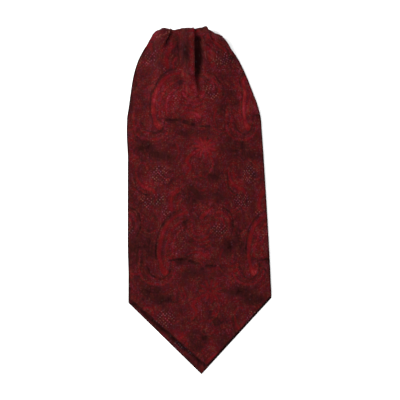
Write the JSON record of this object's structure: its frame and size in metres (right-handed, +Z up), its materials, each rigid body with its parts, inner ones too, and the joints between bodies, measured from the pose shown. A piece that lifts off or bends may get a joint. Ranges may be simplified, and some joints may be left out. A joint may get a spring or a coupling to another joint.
{
  "type": "silk cravat",
  "caption": "Day cravat in paisley silk jacquard, folded flat with its pointed blades one over the other and pleats at the neck.",
  "frame": {"origin": "middle of the outline seen from above, on the surface that the cravat lies on", "axes": "+Y from the pointed ends towards the pleated fold, +Z up out of the surface through the front blade's face"},
  "size_m": [0.1525, 0.3661, 0.0164],
  "materials": {
    "front_blade": "silk jacquard, soft sheen",
    "back_blade": "silk jacquard, soft sheen",
    "neckband": "silk jacquard, soft sheen"
  },
  "bodies": {
    "root": {"front_blade": "front_blade", "back_blade": "back_blade", "neckband": "neckband"}
  },
  "joints": []
}
